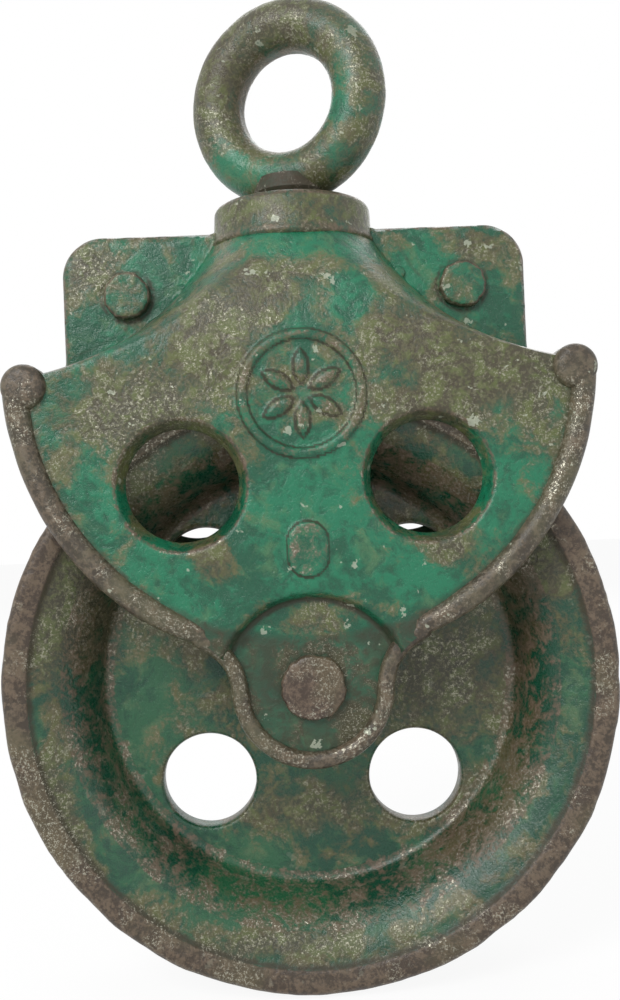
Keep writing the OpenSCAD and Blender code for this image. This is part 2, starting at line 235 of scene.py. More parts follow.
# Colours that the aged paint shares between its finishes, linear.
agedTones = {
    "grain": (0.17, 0.16, 0.08), "stain": (0.17, 0.085, 0.035), "rustDark": (0.055, 0.035, 0.023),
    # The dark brown below is a painted shade colour, mixed with dirt, for corners and hollows.
    "rustPale": (0.15, 0.105, 0.072), "rustOlive": (0.12, 0.1, 0.05), "shadeAndDirt": (0.032, 0.024, 0.012),
    "glint": (0.42, 0.41, 0.33), "chip": (0.5, 0.54, 0.42),
}


def makeAgedEnamel(tones):
    # Paint, browned paint, rust where Worn is high, painted shade with dirt in corners and hollows, bare
    # glints and pale chips.
    colours = [(name, "Color", None) for name in ("Paint", "Deep", "Faded", "Olive", "Brown")]
    values = [(name, "Float", None) for name in ("Browned", "Worn", "ShadeAndDirt", "Chips")]
    outputs = [("Colour", "Color"), ("Roughness", "Float"), ("Metal", "Float"), ("Height", "Float")]
    board, given, put = startGroup("agedEnamel", [("Place", "Vector", None)] + colours + values, outputs)
    blend, ramp, mix = board.blend, board.ramp, board.mix
    place = given["Place"]

    # The noises, from broad patches to specks; a slow sway bends the patches' edges.
    sway = board.add("ShaderNodeTexNoise")
    board.feed(sway.inputs["Vector"], place)
    sway.inputs["Scale"].default_value = 90
    sway.inputs["Detail"].default_value = 3
    shift = board.add("ShaderNodeVectorMath", operation="MULTIPLY_ADD")
    board.feed(shift.inputs[0], sway.outputs["Color"])
    shift.inputs[1].default_value = (0.009, 0.009, 0.009)
    board.feed(shift.inputs[2], place)
    drift = shift.outputs[0]
    broad = board.noise(drift, 42.0, 3.0, 0.55)
    patch = board.noise(drift, 120.0, 6.0, 0.62)
    mottle = board.noise(drift, 390.0, 6.0, 0.62)
    grain = board.noise(place, 1300.0, 4.0, 0.6)
    speck = board.noise(place, 3300.0, 2.0, 0.5)

    # Paint, fresh and faded, then browned where the piece's own value and the noise say so.
    paint = mix(ramp(blend((mottle, 0.6), (broad, 0.8)), -0.09, 0.09), given["Deep"], given["Paint"])
    paint = mix(ramp(patch, 0.5, 0.66, 0.0, 0.75), paint, given["Faded"])
    browning = blend((patch, 1.5), (mottle, 0.8), (broad, 0.8), (grain, 0.55), (given["Browned"], 1.15))
    brownMask = ramp(browning, -0.3, 0.3)
    brown = mix(ramp(blend((mottle, 1.0), (patch, 0.9)), -0.07, 0.17), given["Brown"], given["Olive"])
    brown = mix(ramp(grain, 0.46, 0.62, 0.0, 0.45), brown, tones["grain"])
    colour = mix(board.sum("MULTIPLY", brownMask, 0.93), paint, brown)
    fresh = board.sum("SUBTRACT", 1.0, brownMask)
    between = board.sum("MULTIPLY", board.sum("MULTIPLY", brownMask, fresh), 1.5)
    colour = mix(board.sum("MULTIPLY", between, ramp(patch, 0.42, 0.6)), colour, tones["stain"])

    # Rust on worn edges, and painted shade with dirt in corners and hollows.
    wear = blend((mottle, 1.0), (grain, 0.5), (patch, 0.7))
    wornMask = ramp(board.sum("ADD", wear, board.sum("MULTIPLY", given["Worn"], 1.1)), 0.4, 0.72)
    rust = mix(ramp(blend((mottle, 1.0), (grain, 0.7)), -0.12, 0.14), tones["rustDark"], tones["rustPale"])
    rust = mix(ramp(broad, 0.45, 0.62, 0.0, 0.5), rust, tones["rustOlive"])
    colour = mix(board.sum("MULTIPLY", wornMask, 0.92), colour, rust)
    # Painted shade: the colour darkens towards the dark brown where the shade-and-dirt value is high.
    shadeAndDirtMask = ramp(board.sum("ADD", blend((mottle, 1.1)), given["ShadeAndDirt"]), 0.3, 0.85)
    colour = mix(board.sum("MULTIPLY", shadeAndDirtMask, 0.85), colour, tones["shadeAndDirt"])

    # Bare metal glints in the browned and worn places, and pale chips anywhere.
    bare = board.sum("MAXIMUM", wornMask, board.sum("MULTIPLY", brownMask, 0.7))
    glint = ramp(blend((speck, 0.8), (grain, 0.8)), 0.05, 0.13)
    glint = board.sum("MULTIPLY", glint, bare)
    glint = board.sum("MULTIPLY", glint, ramp(blend((patch, 1.0), (broad, 0.6)), -0.06, 0.09))
    colour = mix(board.sum("MULTIPLY", glint, 0.8), colour, tones["glint"])
    chip = board.sum("ADD", board.noise(place, 210.0, 3.0, 0.5), blend((grain, 0.25)))
    chipMask = board.sum("MULTIPLY", ramp(chip, 0.685, 0.7), given["Chips"])
    colour = mix(chipMask, colour, tones["chip"])
    board.feed(put["Colour"], colour)

    rough = board.sum("ADD", ramp(bare, 0.0, 1.0, 0.3, 0.4), board.sum("MULTIPLY", shadeAndDirtMask, 0.25))
    rough = board.sum("SUBTRACT", rough, board.sum("MULTIPLY", glint, 0.2))
    board.feed(put["Roughness"], board.sum("ADD", rough, blend((grain, 0.4), (mottle, 0.3))))
    board.feed(put["Metal"], board.sum("MULTIPLY", glint, 0.7))
    pits = blend((mottle, 1.0), (grain, 0.55), (speck, 0.15))
    height = board.sum("ADD", pits, board.sum("MULTIPLY", bare, -0.08))
    board.feed(put["Height"], board.sum("SUBTRACT", height, board.sum("MULTIPLY", chipMask, 0.1)))
    return board.tree


agedEnamel = makeAgedEnamel(agedTones)


def startMaterial(name):
    material = bpy.data.materials.new(name)
    material.use_nodes = True
    board = Board(material.node_tree)
    return material, board, board.nodes["Principled BSDF"]


def enamel(name, look):
    # Finish of one piece; its wear, painted shade and browning come from the piece's own worn,
    # shade-and-dirt and olive values.
    material, board, shader = startMaterial(name)
    inputs = {"Place": board.add("ShaderNodeTexCoord").outputs["Object"], "Chips": look["chips"]}
    for label, socket in (("worn", "Worn"), ("shadeAndDirt", "ShadeAndDirt"), ("olive", "Browned")):
        inputs[socket] = board.add("ShaderNodeAttribute", attribute_name=label).outputs["Fac"]
    for colour in ("paint", "deep", "faded", "olive", "brown"):
        inputs[colour.title()] = look[colour]
    outs = board.group(agedEnamel, **inputs)
    board.feed(shader.inputs["Base Color"], outs["Colour"])
    board.feed(shader.inputs["Roughness"], outs["Roughness"])
    board.feed(shader.inputs["Metallic"], outs["Metal"])
    bump = board.add("ShaderNodeBump")
    bump.inputs["Strength"].default_value = look["bump"]
    bump.inputs["Distance"].default_value = 0.0005
    board.feed(bump.inputs["Height"], outs["Height"])
    board.feed(shader.inputs["Normal"], bump.outputs[0])
    return material


looks = {
    "cheek": {
        "paint": (0.009, 0.18, 0.088), "deep": (0.006, 0.09, 0.044), "faded": (0.08, 0.2, 0.09),
        "olive": (0.11, 0.122, 0.034), "brown": (0.062, 0.045, 0.024), "chips": 0.6, "bump": 0.6,
    },
    "wheel": {
        "paint": (0.02, 0.11, 0.048), "deep": (0.004, 0.06, 0.03), "faded": (0.085, 0.165, 0.075),
        "olive": (0.095, 0.11, 0.034), "brown": (0.05, 0.042, 0.022), "chips": 0.1, "bump": 0.55,
    },
    "ring": {
        "paint": (0.015, 0.17, 0.085), "deep": (0.01, 0.09, 0.045), "faded": (0.085, 0.19, 0.09),
        "olive": (0.1, 0.105, 0.03), "brown": (0.06, 0.043, 0.022), "chips": 0.4, "bump": 0.6,
    },
    "iron": {
        "paint": (0.075, 0.05, 0.04), "deep": (0.05, 0.032, 0.025), "faded": (0.1, 0.065, 0.05),
        "olive": (0.085, 0.058, 0.045), "brown": (0.06, 0.042, 0.032), "chips": 0.0, "bump": 0.4,
    },
}
finishes = {name: enamel(name + "Finish", look) for name, look in looks.items()}
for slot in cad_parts["swivel_washer"].material_slots:
    slot.material = finishes["iron"]
print("finishes made")


class Casting:
    # Gathers shells in millimetres as (across, depth, rise), with worn, shade-and-dirt (painted shade with
    # dirt) and olive values at each point.
    def __init__(self):
        self.points, self.faces, self.marks, self.count = [], [], [], 0

    def add(self, points, faces, marks):
        self.points.append(points)
        self.marks.append(marks)
        self.faces.extend((faces + self.count).tolist())
        self.count += len(points)

    def sheet(self, points, marks, closed=False):
        # Grid of points, rows by columns; closed joins the last column to the first.
        rows, columns = points.shape[:2]
        index = np.arange(rows * columns).reshape(rows, columns)
        if closed:
            index = np.column_stack([index, index[:, 0]])
        quads = np.stack([index[:-1, :-1], index[1:, :-1], index[1:, 1:], index[:-1, 1:]], -1).reshape(-1, 4)
        self.add(points.reshape(-1, 3), quads, marks.reshape(-1, 3))

    def finish(self, name, body, material, sharp=48):
        points = np.concatenate(self.points)
        place = np.column_stack([points[:, 0], -points[:, 1], points[:, 2] - layout["drop"]]) / 1000
        mesh = bpy.data.meshes.new(name)
        mesh.from_pydata(place.tolist(), [], self.faces)
        marks = np.concatenate(self.marks)
        for i, label in enumerate(("worn", "shadeAndDirt", "olive")):
            field = mesh.attributes.new(label, "FLOAT", "POINT")
            field.data.foreach_set("value", marks[:, i].astype(np.float32))
        work = bmesh.new()
        work.from_mesh(mesh)
        bmesh.ops.remove_doubles(work, verts=work.verts, dist=2e-6)
        bmesh.ops.dissolve_degenerate(work, edges=work.edges, dist=1e-7)
        bmesh.ops.recalc_face_normals(work, faces=work.faces)
        openEdges = sum(1 for edge in work.edges if not edge.is_manifold)
        work.to_mesh(mesh)
        work.free()
        mesh.shade_smooth()
        mesh.set_sharp_from_angle(angle=math.radians(sharp))
        thing = bpy.data.objects.new(name, mesh)
        bpy.context.scene.collection.objects.link(thing)
        mesh.materials.append(material)
        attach(thing, body)
        print(name, len(mesh.polygons), "faces,", openEdges, "open edges")
        return thing


def meshDomain(loops, rows, clear=0.55):
    # Triangles of a flat region: boundary loops kept as edges, rows of points inside, the outside dropped.
    edge = np.concatenate(loops)
    inner = np.concatenate(rows)
    inner = inner[insideLoops(inner, loops)]
    far = []
    for part in np.array_split(inner, max(1, len(inner) // 1500)):
        gaps = np.hypot(part[:, None, 0] - edge[None, :, 0], part[:, None, 1] - edge[None, :, 1])
        far.append(gaps.min(axis=1))
    inner = inner[np.concatenate(far) > clear]
    cell = np.round(inner / (clear * 0.6)).astype(np.int64)
    keep = np.sort(np.unique(cell[:, 0] * 100003 + cell[:, 1], return_index=True)[1])
    inner = inner[keep]
    points = np.concatenate([edge, inner])
    fences, start = [], 0
    for loop in loops:
        n = len(loop)
        fences += [(start + i, start + (i + 1) % n) for i in range(n)]
        start += n
    done = delaunay_2d_cdt([Vector(p) for p in points], fences, [], 0, 1e-6)
    flat = np.array([tuple(v) for v in done[0]])
    faces = np.array([f for f in done[2] if len(f) == 3])
    middle = flat[faces].mean(axis=1)
    faces = faces[insideLoops(middle, loops)]
    a, b, c = flat[faces[:, 0]], flat[faces[:, 1]], flat[faces[:, 2]]
    area = (b[:, 0] - a[:, 0]) * (c[:, 1] - a[:, 1]) - (b[:, 1] - a[:, 1]) * (c[:, 0] - a[:, 0])
    faces[area < 0] = faces[area < 0][:, ::-1]
    return flat, faces


def insideLoops(points, loops):
    # Even-odd rule over every edge of every loop.
    inside = np.zeros(len(points), bool)
    for loop in loops:
        a, b = loop, np.roll(loop, -1, axis=0)
        for part in np.array_split(np.arange(len(points)), max(1, len(points) // 4000)):
            x, y = points[part, 0][:, None], points[part, 1][:, None]
            spans = (a[None, :, 1] > y) != (b[None, :, 1] > y)
            rise = np.where(b[:, 1] == a[:, 1], 1e-12, b[:, 1] - a[:, 1])[None]
            cross = a[None, :, 0] + (y - a[None, :, 1]) * (b[None, :, 0] - a[None, :, 0]) / rise
            inside[part] ^= (np.sum(spans & (x < cross), axis=1) % 2).astype(bool)
    return inside


def boundaryOf(faces):
    # Directed edges that only one triangle has.
    pairs = np.concatenate([faces[:, [0, 1]], faces[:, [1, 2]], faces[:, [2, 0]]])
    code = pairs[:, 0] * 10000019 + pairs[:, 1]
    back = pairs[:, 1] * 10000019 + pairs[:, 0]
    return pairs[~np.isin(code, back)]


def addPlate(casting, flat, faces, front, back, marks, backMarks, joined=0):
    # A plate over a flat region: front and back are its depths at each point. Walls join them along the
    # boundary, except along its first joined points, where another shell meets both faces.
    near = np.column_stack([flat[:, 0], front, flat[:, 1]])
    far = np.column_stack([flat[:, 0], back, flat[:, 1]])
    casting.add(near, faces, marks)
    casting.add(far, faces[:, ::-1], backMarks)
    edge = boundaryOf(faces)
    a, b = edge[edge.min(axis=1) >= joined].T
    k, size = np.arange(len(a)), len(a)
    quads = np.column_stack([k, k + 3 * size, k + 2 * size, k + size])
    casting.add(np.concatenate([near[a], near[b], far[b], far[a]]), quads,
                np.concatenate([marks[a], marks[b], marks[b], marks[a]]))


def turned(casting, profile, marks, count=240, about="axle", ruffle=None, centre=(0.0, 0.0), span=None):
    # Profile of (radius, height) points carried round the axle's line, or round the swivel's upright line:
    # (radius cos a, height, radius sin a), or (radius cos a, -radius sin a, height). A span has flat lids.
    start, end = span if span else (0.0, 360.0)
    a = np.radians(np.linspace(start, end, count, endpoint=span is not None))
    radius, height = profile[:, 0][:, None] + 0 * a[None], profile[:, 1][:, None] + 0 * a[None]
    if ruffle is not None:
        radius, height = ruffle(radius, height, a[None] + 0 * radius)
    if about == "axle":
        points = np.stack([centre[0] + radius * np.cos(a), height, centre[1] + radius * np.sin(a)], -1)
    else:
        points = np.stack([radius * np.cos(a), -radius * np.sin(a), height], -1)
    wear = np.repeat(marks[:, None, :], count, axis=1)
    casting.sheet(points, wear, closed=span is None)
    if span:
        for k in (0, count - 1):
            lid = points[:, k]
            middle = lid.mean(axis=0)
            rim = np.concatenate([lid, middle[None]])
            n = len(lid)
            i = np.arange(n - 1)
            casting.add(rim, np.column_stack([i, i + 1, np.full(n - 1, n)]), np.zeros((n + 1, 3)))


def swept(casting, path, radius, marks, sides=20):
    # Round bar along a path of points: path plus radius times (side cos + lift sin), square to the path.
    tangent = np.gradient(path, axis=0)
    tangent /= np.linalg.norm(tangent, axis=1)[:, None]
    outward = np.array([0.0, 1.0, 0.0])
    side = np.cross(tangent, outward)
    side /= np.linalg.norm(side, axis=1)[:, None]
    lift = np.cross(side, tangent)
    a = np.linspace(0, 2 * math.pi, sides, endpoint=False)
    ring = side[:, None] * np.cos(a)[None, :, None] + lift[:, None] * np.sin(a)[None, :, None]
    points = path[:, None] + ring * radius[:, None, None]
    casting.sheet(points, np.repeat(marks[:, None, :], sides, axis=1), closed=True)


# The cheek casting, in millimetres: across, rise above the axle, depth from the middle plane to the viewer.
cheek = {
    "face": 29.0, "plate": 5.0, "slopeFrom": 77.3, "slopeIn": 8.2, "foot": 111.95, "top": 122.55,
    "bell": (73.2, 133.7, 56.7), "wallLean": 0.2, "roof": 5.2,
    "neck": (86.1, 152.4, 76.7), "chamber": 103.55, "bore": 8.08,
    "fanRise": 76.8, "fanEdge": 69.8, "fanTangent": 66.6,
    "fillet": (33.77, -1.42, 15.4), "lobe": 18.4, "lobeFace": 24.6, "lobeBack": 18.0, "step": 21.5,
    "ear": (60.1, 115.5, 10.4), "earFace": 5.0, "ledge": 79.0,
    "window": (29.6, 49.8, 13.7), "roundel": (70.7, 15.5, 13.1), "pad": (33.5, 5.0, 1.8),
    "rivet": (43.4, 99.7),
    "petal": {"count": 6, "middle": 6.45, "bow": 6.01, "half": 2.2}, "relief": 1.15,
    "rim": {
        "bend": 68.05, "turn": 16.15, "lobeBend": 17.65,
        "bar": 3.15, "lobeBar": 2.15, "depth": 28.2, "lobeDepth": 24.9,
    },
    "knob": {"radius": 5.4, "face": 31.5, "base": 23.5, "edge": 2.6, "place": (65.9, 74.7)},
    "collar": {"radius": 20.5, "lip": 21.5, "edge": 2.6},
}

# Browned (above zero) and fresh (below zero) patches of the paint: centre, half sizes and amount.
cheekStains = {"base": 0.44, "spots": [
    (-40, 68, 16, 9, 0.45), (-22, 84, 12, 9, 0.45), (-9, 98, 12, 8, 0.45), (2, 108, 16, 4, -0.6),
    (13, 93, 5, 6, -0.6), (31, 82, 11, 9, 0.4), (50, 75, 14, 7, 0.6), (33, 67, 12, 5, 0.5),
    (20, 86, 8, 8, 0.3), (-1, 45, 12, 12, -0.75), (0, 31, 17, 8, -0.75), (-22, 31, 7, 7, 0.5),
    (-35, 30, 7, 6, -0.7), (-49, 45, 6, 9, -0.35), (47, 45, 7, 9, -0.5), (56, 62, 5, 8, 0.2),
    (34, 32, 6, 6, 0.4), (28, 24, 9, 5, -0.7), (-26, 20, 8, 5, -0.5), (-12, 53, 5, 8, 0.2),
    (-34, 101, 7, 6, -0.6), (-53, 107, 7, 6, 0.4), (-51, 89, 7, 7, -0.4), (34, 105, 7, 7, -0.55),
    (46, 110, 8, 4, 0.35), (53, 93, 6, 8, -0.3), (-15, 7, 6, 6, -0.4), (1, 16, 10, 5, 0.2),
    (16, 7, 5, 6, -0.5), (1, -13, 5, 4, -0.6), (-8, -6, 6, 6, -0.4), (8, -10, 5, 5, 0.2),
]}


def cheekEdge():
    # Outline of the casting seen from the front: ears, tips, round lower edge, hollow shoulders and lobe.
    w, top, r = cheek["ear"]
    fx, fz, fr = cheek["fillet"]
    tangent = cheek["fanTangent"]
    half = np.concatenate([
        lineOf((0, top), (w - r, top), 1.3)[:-1],
        arcOf(w - r, top - r, r, 90, 0, 0.9)[:-1],
        lineOf((w, top - r), (w, cheek["ledge"] + 5), 1.2)[:-1],
        arcOf(w + 5, cheek["ledge"] + 5, 5, 180, 270, 0.9)[:-1],
        lineOf((w + 5, cheek["ledge"]), (69.0, cheek["ledge"]), 1.0),
        arcOf(0, cheek["fanRise"], cheek["fanEdge"], 0, -tangent, 1.0)[:-1],
        arcOf(fx, fz, fr, 180 - tangent, 177.6, 0.8)[1:-1],
        arcOf(0, 0, cheek["lobe"], -3.4, -90, 0.8),
    ])
    other = mirrorX(half[1:-1])[::-1]
    return np.concatenate([half, other])


def shoulderGap(x, z):
    # Distance inside the two hollow shoulder curves.
    bx, bz, br = cheek["bell"]
    gap = np.hypot(np.abs(x) - bx, z - bz) - br
    return np.where(z > bz, np.maximum(bx - br - np.abs(x), -30), gap)


def plateSlope(z):
    # How far the plate leans back above its flat part, growing with the square of the rise.
    start = cheek["slopeFrom"]
    return cheek["slopeIn"] * (np.clip(z - start, 0, None) / (cheek["foot"] - start)) ** 2


def neckRadius(z, grow):
    # Radius of the neck at a rise: an arc hollow towards the viewer, grown inwards by the wall.
    nx, nz, nr = cheek["neck"]
    return nx - np.sqrt(np.clip((nr + grow) ** 2 - (nz - z) ** 2, 0, None))


def relief(x, z):
    # Raised ring with six petals, and an oval pad below.
    rise, outer, inner = cheek["roundel"]
    r = np.hypot(x, z - rise)
    ring = ease(np.abs(r - (outer + inner) / 2), 1.75, 0.55)
    leaves = np.zeros_like(x)
    petal = cheek["petal"]
    bow, off = petal["bow"], petal["bow"] - petal["half"]
    for k in range(petal["count"]):
        a = math.radians(90 + 360 * k / petal["count"])
        u = x * math.cos(a) + (z - rise) * math.sin(a) - petal["middle"]
        v = -x * math.sin(a) + (z - rise) * math.cos(a)
        gap = np.maximum(np.hypot(u, v - off), np.hypot(u, v + off)) - bow
        leaves = np.maximum(leaves, ease(gap, 0.45, -1.5))
    padRise, padRound, padHalf = cheek["pad"]
    pad = ease(np.hypot(x, np.clip(np.abs(z - padRise) - padHalf, 0, None)) - padRound, 0.5, -0.9)
    return cheek["relief"] * np.maximum(np.maximum(ring, leaves), pad)


def earInside(x, z):
    # Distance inside the ear's outline: a square with a round corner.
    w, top, r = cheek["ear"]
    qx, qz = np.abs(x) - (w - r), z - (top - r)
    return r - np.hypot(np.clip(qx, 0, None), np.clip(qz, 0, None)) - np.clip(np.maximum(qx, qz), None, 0)


def fromWindow(x, z):
    # Distance outside the nearer window's edge.
    wx, wz, wr = cheek["window"]
    return np.hypot(np.abs(x) - wx, z - wz) - wr


def cheekFront(x, z):
    # Depth of the front: plate rounded into the neck, leaning shoulder wall, ears, windows, step and relief.
    body = cheek["face"] - plateSlope(z)
    dome = np.sqrt(np.clip(neckRadius(z, 0) ** 2 - x ** 2, 0, None))
    gap = shoulderGap(x, z)
    body = softMin(body, np.where(z > 72, dome, 60.0), 3.0)
    body = softMin(body, cheek["face"] + 1.0 + gap / cheek["wallLean"], 7.0)
    ears = cheek["earFace"] + 0 * x
    front = np.where(z > 74, softMax(body, ears, 4.5), body)
    axle = np.hypot(x, z)
    stepLine = cheek["lobeFace"] + (axle - cheek["step"]) * 2.6
    front = softMin(front, softMax(np.full_like(x, cheek["lobeFace"]), stepLine, 1.6), 1.6)
    front = softMin(front, cheek["face"] - cheek["plate"] + fromWindow(x, z) * 2.63, 2.4)
    front = front + np.where(z < 100, relief(x, z), 0)
    edge = 1.6
    bevel = edge - np.clip(earInside(x, z), 0, edge)
    front = front - np.where(gap < -1, edge - np.sqrt(np.clip(edge ** 2 - bevel ** 2, 0, None)), 0)
    return front + 0.16 * lumps(x, z, 8.3, 3) + 0.09 * lumps(x, z, 3.1, 4) + 0.05 * lumps(x, z, 1.4, 5)


def cheekBack(x, z):
    # Depth of the back: mating face, hollow behind the plate, lobe backing and the shank's bore.
    gap = shoulderGap(x, z)
    inner = cheek["face"] - cheek["plate"] - plateSlope(z)
    dome = np.sqrt(np.clip(neckRadius(z, cheek["plate"]) ** 2 - x ** 2, 0, None))
    hollow = np.minimum(inner, np.where(z > 70, dome, 60.0))
    hollow = np.minimum(hollow, np.clip((gap - cheek["roof"]) / 0.08, 0, None))
    hollow = np.minimum(hollow, np.clip((cheek["chamber"] - z) / 0.08, 0, None))
    axle = np.hypot(x, z)
    hollow = np.minimum(hollow, cheek["lobeBack"] + np.clip(axle - 30, 0, None) * 2.6)
    bore = np.where(z > cheek["chamber"] - 1, np.sqrt(np.clip(cheek["bore"] ** 2 - x ** 2, 0, None)), 0)
    return np.maximum(np.maximum(hollow, bore), 0.05)


def cheekMarks(x, z, front):
    # Wear on crests and edges, painted shade with dirt in corners, creases and round raised parts, and olive
    # where the paint has browned.
    gap = shoulderGap(x, z)
    crest = np.exp(-((gap + plateSlope(z) * cheek["wallLean"]) / 1.5) ** 2) * (front > 12)
    rim = np.exp(-((fromWindow(x, z) - 2.2) / 0.8) ** 2)
    inside = np.clip(earInside(x, z), 0, None)
    earEdge = np.where((z > 84) & (gap < -1), np.exp(-(inside / 1.6) ** 2), 0)
    raised = relief(x, z)
    tops = np.where((raised > 0.85) & (z < 100), 0.45, 0)
    worn = np.maximum.reduce([0.55 * crest, 0.6 * rim, 0.6 * earEdge, tops])
    axle = np.hypot(x, z)
    corner = np.exp(-((axle - cheek["step"] + 0.3) / 0.9) ** 2)
    rx, rz = cheek["rivet"]
    rivet = np.hypot(np.abs(x) - rx, z - rz)
    ring = np.exp(-((rivet - 6.6) / 0.8) ** 2)
    fan = np.hypot(x, z - cheek["fanRise"])
    gutter = ease(fan, 62.5, 65.5) * (z < 77)
    skirt = np.where((raised > 0.05) & (raised < 0.8) & (z < 100), 0.8, 0)
    foot = np.exp(-((gap + 5.4) / 1.1) ** 2) * (front < 9)
    # Painted shade with some dirt: the step's corner, a ring round each rivet, the band inside the rim, the
    # relief's sides and the wall's foot are darkened.
    shadeAndDirt = np.maximum.reduce([corner, 0.8 * ring, 0.7 * gutter, skirt, 0.5 * foot])
    olive = stained(x, z, cheekStains)
    olive = olive - 0.45 * np.exp(-((gap + 3.0) / 1.8) ** 2) * (front > 5.5) * (z > 74)
    return np.column_stack([worn, shadeAndDirt, np.clip(olive, 0, 1)])


def cheekPoints():
    # Rows of points that follow the shoulders, windows, step, relief and rim, and a plain grid between them.
    bx, bz, br = cheek["bell"]
    rows = []
    outside = (-8.5, -7.2, -6.2, -5.5, -4.9, -4.3, -3.7, -3.1, -2.5, -1.9, -1.3, -0.8, -0.3)
    within = (0.2, 0.8, 1.5, 2.4, 3.6, 4.6, 5.2, 5.6, 6.2, 7.2, 8.4)
    for s in outside + within:
        row = arcOf(bx, bz, br + s, 180, 275, 1.1)
        rows += [row, mirrorX(row)]
    wx, wz, wr = cheek["window"]
    for r in (14.25, 14.8, 15.3, 15.8, 16.3, 16.9, 17.8, 19.0):
        row = arcOf(wx, wz, r, 0, 360, 0.9)
        rows += [row, mirrorX(row)]
    for r in (19.6, 20.6, 21.1, 21.6, 22.1, 22.6, 23.2, 24.2, 29.8, 30.4, 31.2, 32.2):
        rows.append(arcOf(0, 0, r, -10, 190, 0.9))
    rise, outer, inner = cheek["roundel"]
    fine = 0.5
    gx, gz = np.meshgrid(np.arange(-17, 17.01, fine), np.arange(-17, 17.01, fine))
    disc = np.column_stack([gx.ravel(), gz.ravel() + rise])
    rows.append(disc[np.hypot(gx.ravel(), gz.ravel()) < 17])
    px, pz = np.meshgrid(np.arange(-6.5, 6.6, fine), np.arange(-8.5, 8.6, fine))
    rows.append(np.column_stack([px.ravel(), pz.ravel() + cheek["pad"][0]]))
    for r in (61, 63, 64.5, 66, 67.5, 68.8):
        rows.append(arcOf(0, cheek["fanRise"], r, -180, 0, 1.3))
    for x in (7.0, 7.8, 8.3, 9.2):
        for side in (-1, 1):
            rows.append(lineOf((side * x, cheek["chamber"] - 2), (side * x, 115), 1.0))
    for z in (102.5, 103.2, 103.8):
        rows.append(lineOf((-22, z), (22, z), 1.0))
    fixed = np.concatenate(rows)
    gx, gz = np.meshgrid(np.arange(-72, 72.1, 1.5), np.arange(-20, 116, 1.5))
    grid = np.column_stack([gx.ravel() + 0.75 * (np.arange(gx.size) // gx.shape[1] % 2), gz.ravel()])
    size = 1.3
    taken = set(map(tuple, np.round(fixed / size).astype(int).tolist()))
    free = np.array([tuple(c) not in taken for c in np.round(grid / size).astype(int).tolist()])
    return [fixed, grid[free]]


def rimPath():
    # Middle line of the rolled rim from tip to tip, with its depth and its half thickness.
    fx, fz = cheek["fillet"][:2]
    tangent = cheek["fanTangent"]
    rim = cheek["rim"]
    fan = arcOf(0, cheek["fanRise"], rim["bend"], -1.5, -tangent, 1.2)
    turn = arcOf(fx, fz, rim["turn"], 180 - tangent, 177.6, 0.9)[1:]
    lobe = arcOf(0, 0, rim["lobeBend"], -2.4, -90, 0.9)[1:]
    half = np.concatenate([fan, turn, lobe])
    along = np.concatenate([[0], np.cumsum(np.hypot(*np.diff(half, axis=0).T))])
    start = along[len(fan) - 1]
    share = ease(along, start - 6, start + 14)
    depth = rim["depth"] + (rim["lobeDepth"] - rim["depth"]) * share
    bar = rim["bar"] + (rim["lobeBar"] - rim["bar"]) * ease(along, start - 16, start + 14)
    line = np.column_stack([half[:, 0], depth, half[:, 1]])
    other = (line[:-1] * np.array([-1, 1, 1]))[::-1]
    path = np.concatenate([line, other])
    bar = np.concatenate([bar, bar[:-1][::-1]])
    spot = np.arange(len(path)) * 1.0
    bar = bar * (1 - 0.03 + 0.03 * lumps(spot, 0 * spot, 5.0, 9))
    bar = np.concatenate([[0.0], bar, [0.0]])
    ends = [path[:1] + (path[0] - path[1]) * 0.05, path[-1:] + (path[-1] - path[-2]) * 0.05]
    return np.concatenate([ends[0], path, ends[1]]), bar


def knobProfile():
    # Rounded post: flat middle, quarter-circle shoulder, straight side.
    knob = cheek["knob"]
    face, radius, edge = knob["face"], knob["radius"], knob["edge"]
    a = np.radians(np.linspace(90, 0, 7))
    curve = np.column_stack([radius - edge + edge * np.cos(a), face - edge + edge * np.sin(a)])
    crown = [[0, face + 0.15], [(radius - edge) * 0.5, face + 0.1]]
    return np.concatenate([crown, curve, [[radius, knob["base"]], [0, knob["base"]]]])


def collarProfile():
    # Half collar round the shank, from its foot lip over the straight band and rounded top into the bore.
    collar, top, foot, bore = cheek["collar"], cheek["top"], cheek["foot"], cheek["bore"]
    r, lip, edge = collar["radius"], collar["lip"], collar["edge"]
    a = np.radians(np.linspace(0, 90, 7))
    rounding = np.column_stack([r - edge + edge * np.cos(a), top - edge + edge * np.sin(a)])
    low = [[bore, foot - 1.5], [19.5, foot - 1.5], [20.9, foot - 0.6], [lip, foot + 0.1],
           [lip, foot + 0.7], [21.1, foot + 1.4], [20.7, foot + 4]]
    inner = [[12, top], [bore + 0.8, top], [bore, top - 0.8], [bore, foot - 1.5]]
    return np.concatenate([low, rounding, inner])


def dented(radius, height, angle):
    # The collar's outside, hammered a little out of round.
    return radius - 0.12 - 0.12 * lumps(angle * 6, height / 4, 1.0, 12) * (radius > 15), height


